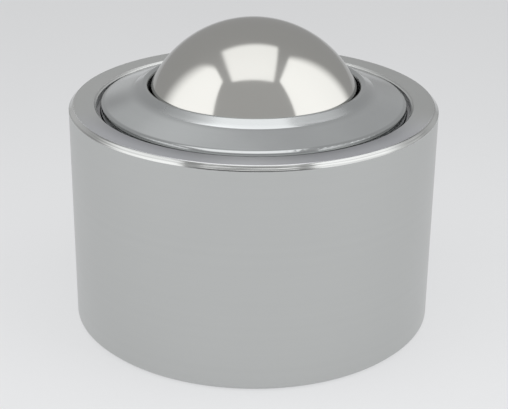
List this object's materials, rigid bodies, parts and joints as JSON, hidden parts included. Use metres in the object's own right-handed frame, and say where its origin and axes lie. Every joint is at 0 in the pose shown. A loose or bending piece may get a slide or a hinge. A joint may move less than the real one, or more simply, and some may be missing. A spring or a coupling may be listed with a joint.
{
  "type": "ball transfer unit",
  "caption": "Cylindrical steel housing with a large ball standing out of a domed cap, rolling freely in any direction on a bed of small balls to carry loads across a table.",
  "frame": {"origin": "centre of the flat underside of the body", "axes": "+Z is the unit's axis of symmetry, from the underside towards the ball"},
  "size_m": [0.082, 0.082, 0.0685],
  "materials": {
    "body_steel": "fine-turned, satin, bright zinc",
    "cap_steel": "fine-turned, satin to bright",
    "ball_chrome": "mirror polished",
    "bearing_steel": "mirror polished",
    "cup_steel": "hardened and ground",
    "spring_steel": "blackened",
    "seal_felt": "pressed felt, oiled"
  },
  "bodies": {
    "housing": {"body": "body_steel", "ball_cup": "cup_steel", "cap": "cap_steel", "felt_seal": "seal_felt", "retaining_ring": "spring_steel"},
    "ball_bed": {"support_balls_row_1": "bearing_steel", "support_balls_row_2": "bearing_steel", "support_balls_row_3": "bearing_steel", "support_balls_row_4": "bearing_steel", "support_balls_row_5": "bearing_steel", "support_balls_row_6": "bearing_steel", "support_balls_row_7": "bearing_steel", "support_balls_row_8": "bearing_steel"},
    "rolling_ball": {"load_ball": "ball_chrome"}
  },
  "joints": [
    {"name": "bed_turn", "type": "hinge", "parent": "housing", "child": "ball_bed", "pos_m": [0, 0, 0.0431], "axis": [0, 0, 1], "continuous": true},
    {"name": "ball_roll", "type": "hinge", "parent": "ball_bed", "child": "rolling_ball", "pos_m": [0, 0, 0.0431], "axis": [1, 0, 0], "continuous": true}
  ]
}
